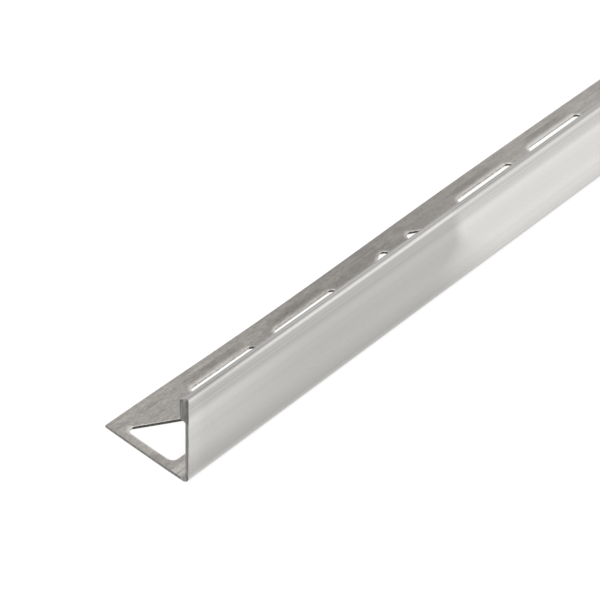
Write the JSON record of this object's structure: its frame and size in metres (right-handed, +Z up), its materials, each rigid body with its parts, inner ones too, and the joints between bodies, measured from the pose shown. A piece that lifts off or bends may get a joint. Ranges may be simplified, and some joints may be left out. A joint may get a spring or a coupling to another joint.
{
  "type": "tile edge trim",
  "caption": "Aluminium tile edge trim: an extruded angle with a thick visible head on its upright leg and a fixing flange punched with pairs of triangular holes.",
  "frame": {"origin": "middle of the bounding box on the plane of the flange's underside", "axes": "+X along the length, -Y out of the visible face, +Y towards the free edge of the flange, +Z up the leg"},
  "size_m": [1, 0.0256, 0.025],
  "materials": {
    "aluminium": "bright drawn visible face, dull mill finish on the flange"
  },
  "bodies": {
    "root": {"edge_trim": "aluminium"}
  },
  "joints": []
}
